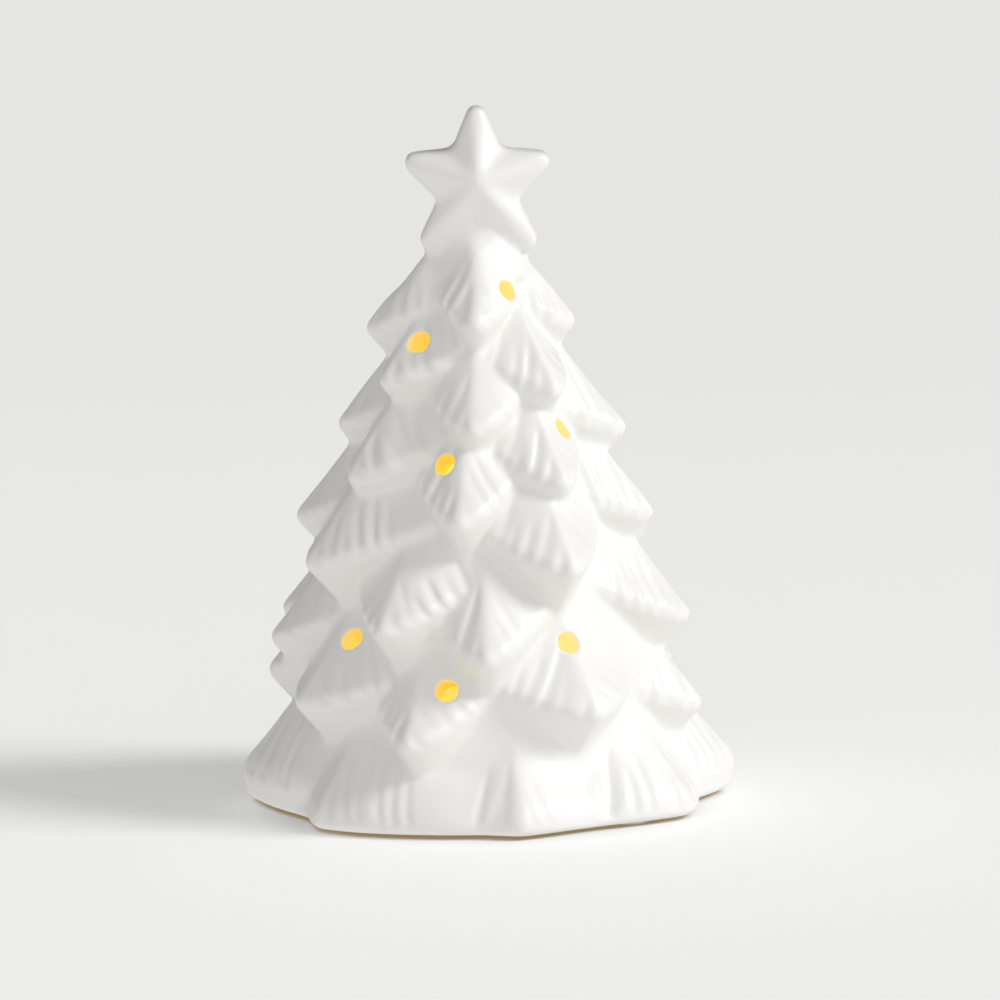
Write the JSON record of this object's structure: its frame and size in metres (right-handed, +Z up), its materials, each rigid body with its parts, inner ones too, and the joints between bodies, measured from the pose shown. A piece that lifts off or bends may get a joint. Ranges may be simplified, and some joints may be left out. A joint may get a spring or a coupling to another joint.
{
  "type": "ceramic christmas tree",
  "caption": "White glazed ceramic christmas tree with a star and round light holes, hollow inside, over a battery light that plugs into the opening in its floor.",
  "frame": {"origin": "middle of the foot, on the table", "axes": "+Z up the tree's axis, the front faces -Y"},
  "size_m": [0.0986, 0.0934, 0.14],
  "materials": {
    "glaze": "glossy white glaze, unglazed foot",
    "pad_rubber": "soft stick-on pads",
    "white_abs": "moulded, fine spark texture",
    "silicone": "translucent silicone",
    "screw_steel": "zinc plated",
    "nylon": "natural nylon",
    "cell_steel": "nickel plated can",
    "contact_nickel": "nickel plated spring steel",
    "board_green": "solder mask on glass epoxy",
    "chip_black": "moulded epoxy",
    "resistor_tan": "lacquer",
    "capacitor_sleeve": "shrunk sleeve",
    "led_epoxy": "clear epoxy, warm light",
    "tinned_wire": "tinned",
    "switch_steel": "nickel plated",
    "phenolic": "paper laminate",
    "black_abs": "moulded"
  },
  "bodies": {
    "light_base": {"light_housing": "white_abs", "light_cover": "white_abs", "grip_ring": "silicone", "case_screws": "screw_steel", "circuit_board": "board_green", "timer_chip": "chip_black", "resistor": "resistor_tan", "capacitor": "capacitor_sleeve", "led_lens": "led_epoxy", "led_leads": "tinned_wire", "switch_can": "switch_steel", "switch_base": "phenolic", "switch_pins": "tinned_wire", "contact_minus": "contact_nickel", "contact_plus": "contact_nickel"},
    "tree": {"ceramic_tree": "glaze", "foot_pads": "pad_rubber"},
    "switch": {"switch_knob": "black_abs"},
    "door": {"battery_door": "white_abs", "coin_cell": "cell_steel"},
    "retainer": {"screw_retainer": "nylon"},
    "screw": {"door_screw": "screw_steel"}
  },
  "joints": [
    {"name": "tree_lift", "type": "slide", "parent": "light_base", "child": "tree", "axis": [0, 0, 1], "range_m": [0, 0.045]},
    {"name": "switch_slide", "type": "slide", "parent": "light_base", "child": "switch", "axis": [0, -1, 0], "range_m": [0, 0.002]},
    {"name": "battery_door_drop", "type": "slide", "parent": "light_base", "child": "door", "axis": [0, 0, -1], "range_m": [0, 0.015]},
    {"name": "screw_back_out", "type": "slide", "parent": "door", "child": "retainer", "axis": [0, 0, -1], "range_m": [0, 0.0024]},
    {"name": "door_screw_turn", "type": "hinge", "parent": "retainer", "child": "screw", "pos_m": [-0.016, 0, 0.003], "axis": [0, 0, -1], "range_deg": [0, 1080]}
  ],
  "couplings": [
    {"joint": "door_screw_turn", "follows": "screw_back_out", "rad_per_m": 7854}
  ]
}
